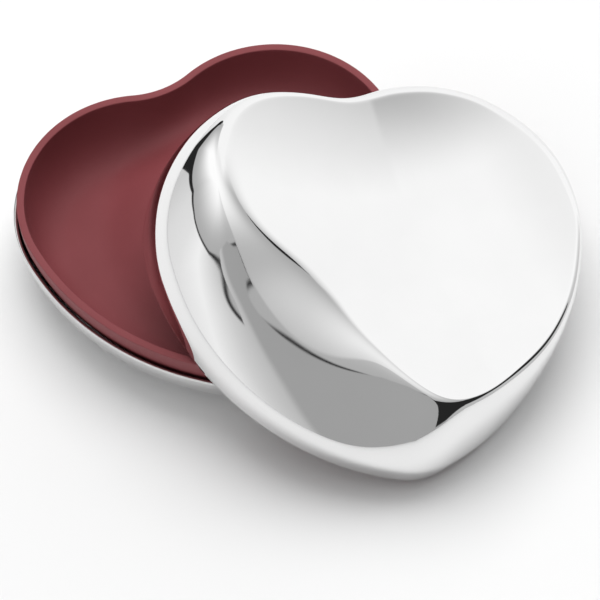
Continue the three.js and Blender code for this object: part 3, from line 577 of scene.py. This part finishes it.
def pale_floor():
    size = 3.0
    mesh = bpy.data.meshes.new("floor")
    corners = [(-size, -size, 0), (size, -size, 0), (size, size, 0), (-size, size, 0)]
    mesh.from_pydata(corners, [], [(0, 1, 2, 3)])
    floor = bpy.data.objects.new("floor", mesh)
    bpy.context.scene.collection.objects.link(floor)
    floor.location.z = -0.00005
    material, nodes, links, shader = new_material("pale_floor")
    faint = noise(nodes, links, 3, 2, 0.5)
    colour = ramp(nodes, links, faint.outputs["Fac"], [(0.3, grey(0.86)), (0.7, grey(0.88))])
    links.new(colour.outputs["Color"], shader.inputs["Base Color"])
    shader.inputs["Roughness"].default_value = 0.9
    shader.inputs["Specular IOR Level"].default_value = 0.0
    give(floor, material)


# The studio by compass: 0 degrees is behind the box, 90 is to its right and 180 is in front of it.
# Each pair is a bearing and a height in degrees.
SOFTBOX_EDGE = [
    (-180, 47), (-168, 47), (-166, 58), (-154, 56), (-137, 48.5), (-122, 45.2), (-91, 45), (-75, 44.5),
    (-57, 41.5), (-40, 27), (-25, 15), (-8, 26), (12, 40), (35, 45), (125, 46), (180, 47),
]
WALL_EDGE = [
    (-180, 2), (-168, 2), (-166, 56.5), (-160, 56), (-154, 56.5), (-151, 57), (-138, 51), (-136.5, 47),
    (-122, 43.8), (-91, 43.4), (-75, 42.6), (-57, 38), (-40, 21), (-29, -2), (-19, -2), (-5, 18), (12, 33),
    (30, 48), (97, 48), (106, 24), (125, 24), (135, 18), (150, 12), (180, 2),
]
LOWEST, HIGHEST = -10, 80           # the range that the two edges' heights lie in
BRIGHTEST_WALL = 2
EDGE_START, EDGE_WIDTH = -0.6, 1.2  # how far an edge is blurred, in degrees
OVERHEAD_FADE = 45
BACK_RIGHT_BEARING, BACK_RIGHT_HALF_WIDTH, BACK_RIGHT_FADE = 66, 20, 13
BACK_RIGHT_TOP, BACK_RIGHT_TOP_FADE = 62, 20
# Each pair is a bearing and the wall's brightness there.
WALL_LIGHT = [(-180, 0.40), (-143, 0.42), (-140, 0.60), (-128, 0.74), (-108, 1.05), (-85, 0.90),
              (-60, 0.84), (-35, 0.70), (0, 1.0), (45, 1.1), (86, 1.12), (98, 0.66), (125, 0.6), (180, 0.5)]
SOFTBOX_LOW, SOFTBOX_HIGH, BACK_RIGHT_LIGHT, GAP_LIGHT = 0.50, 1.2, 1.12, 0.022
TOP_LIGHT_POWER, TOP_LIGHT_SIZE, TOP_LIGHT_PLACE = 19.0, 1.6, (0.25, 0.75, 1.6)


def maths(tree, operation, *values):
    node = tree.nodes.new("ShaderNodeMath")
    node.operation = operation
    for socket, value in zip(node.inputs, values):
        if isinstance(value, (int, float)):
            socket.default_value = value
        else:
            tree.links.new(value, socket)
    return node.outputs[0]


def by_bearing(tree, turn, pairs, low, high):
    """A value set at a few bearings, blended in between; turn runs from 0 to 1 over -180 to 180 degrees."""
    node = tree.nodes.new("ShaderNodeFloatCurve")
    curve = node.mapping.curves[0]
    while len(curve.points) < len(pairs):
        curve.points.new(0.5, 0.5)
    for point, (bearing_deg, value) in zip(curve.points, pairs):
        point.location = ((bearing_deg + 180) / 360, (value - low) / (high - low))
        point.handle_type = "VECTOR"
    node.mapping.update()
    tree.links.new(turn, node.inputs["Value"])
    return maths(tree, "MULTIPLY_ADD", node.outputs["Value"], high - low, low)


def step_up(tree, value, start, width):
    node = tree.nodes.new("ShaderNodeMapRange")
    node.interpolation_type = "SMOOTHSTEP"
    tree.links.new(value, node.inputs["Value"])
    node.inputs["From Min"].default_value = start
    node.inputs["From Max"].default_value = start + width
    return node.outputs["Result"]


def blend(tree, share, first, second):
    """first where share is 0 and second where it is 1."""
    rest = maths(tree, "SUBTRACT", 1.0, share)
    return maths(tree, "ADD", maths(tree, "MULTIPLY", rest, first), maths(tree, "MULTIPLY", share, second))


def studio_world():
    """A softbox overhead, a pale wall round the sides and a dark gap between them."""
    world = bpy.data.worlds.new("studio")
    bpy.context.scene.world = world
    world.use_nodes = True
    tree = world.node_tree
    nodes, links = tree.nodes, tree.links
    nodes.clear()
    output = nodes.new("ShaderNodeOutputWorld")
    background = nodes.new("ShaderNodeBackground")
    links.new(background.outputs["Background"], output.inputs["Surface"])
    coords = nodes.new("ShaderNodeTexCoord")
    parts = nodes.new("ShaderNodeSeparateXYZ")
    links.new(coords.outputs["Generated"], parts.inputs["Vector"])
    bearing_rad = maths(tree, "ARCTAN2", parts.outputs["X"], parts.outputs["Y"])
    turn = maths(tree, "MULTIPLY_ADD", bearing_rad, 1 / (2 * math.pi), 0.5)
    height = maths(tree, "DEGREES", maths(tree, "ARCSINE", parts.outputs["Z"]))
    softbox_edge = by_bearing(tree, turn, SOFTBOX_EDGE, LOWEST, HIGHEST)
    wall_edge = by_bearing(tree, turn, WALL_EDGE, LOWEST, HIGHEST)
    wall_light = by_bearing(tree, turn, WALL_LIGHT, 0, BRIGHTEST_WALL)
    above_edge = maths(tree, "SUBTRACT", height, softbox_edge)
    overhead = step_up(tree, above_edge, 0, OVERHEAD_FADE)
    softbox = blend(tree, overhead, SOFTBOX_LOW, SOFTBOX_HIGH)
    from_middle = maths(tree, "ABSOLUTE", maths(tree, "SUBTRACT", turn, (BACK_RIGHT_BEARING + 180) / 360))
    beside = step_up(tree, from_middle, BACK_RIGHT_HALF_WIDTH / 360, BACK_RIGHT_FADE / 360)
    above = step_up(tree, height, BACK_RIGHT_TOP, BACK_RIGHT_TOP_FADE)
    inside = [maths(tree, "SUBTRACT", 1.0, share) for share in (beside, above)]
    softbox = blend(tree, maths(tree, "MULTIPLY", *inside), softbox, BACK_RIGHT_LIGHT)
    in_softbox = step_up(tree, above_edge, EDGE_START, EDGE_WIDTH)
    above_wall = step_up(tree, maths(tree, "SUBTRACT", height, wall_edge), EDGE_START, EDGE_WIDTH)
    on_wall = maths(tree, "SUBTRACT", 1.0, above_wall)
    room = blend(tree, in_softbox, GAP_LIGHT, softbox)
    room = blend(tree, on_wall, room, wall_light)
    links.new(room, background.inputs["Color"])
    return world


def top_light():
    """A large lamp for the ground and the moulded plastic, kept out of the mirror finish."""
    data = bpy.data.lights.new("top_light", "AREA")
    data.shape = "DISK"
    data.size = TOP_LIGHT_SIZE
    data.energy = TOP_LIGHT_POWER
    lamp = bpy.data.objects.new("top_light", data)
    bpy.context.scene.collection.objects.link(lamp)
    lamp.location = TOP_LIGHT_PLACE
    aim(lamp, (0, 0, 0))
    lamp.visible_glossy = False
    lamp.visible_camera = False


def aim(obj, target):
    obj.rotation_euler = (Vector(target) - obj.location).to_track_quat("-Z", "Y").to_euler()


def photo_camera():
    azimuth, elevation = math.radians(CAMERA_AZIMUTH), math.radians(CAMERA_ELEVATION)
    back = Vector((math.sin(azimuth) * math.cos(elevation), -math.cos(azimuth) * math.cos(elevation),
                   math.sin(elevation)))
    target = Vector(CAMERA_TARGET) * MM
    data = bpy.data.cameras.new("camera")
    data.sensor_width = 36
    data.lens = 18 / math.tan(FIELD_OF_VIEW / 2)
    data.clip_start, data.clip_end = 0.05, 20
    camera = bpy.data.objects.new("camera", data)
    bpy.context.scene.collection.objects.link(camera)
    camera.location = target + back * CAMERA_DISTANCE * MM
    aim(camera, target)
    bpy.context.scene.camera = camera


pale_floor()
studio_world()
top_light()
photo_camera()
bpy.context.scene.view_settings.view_transform = "Standard"
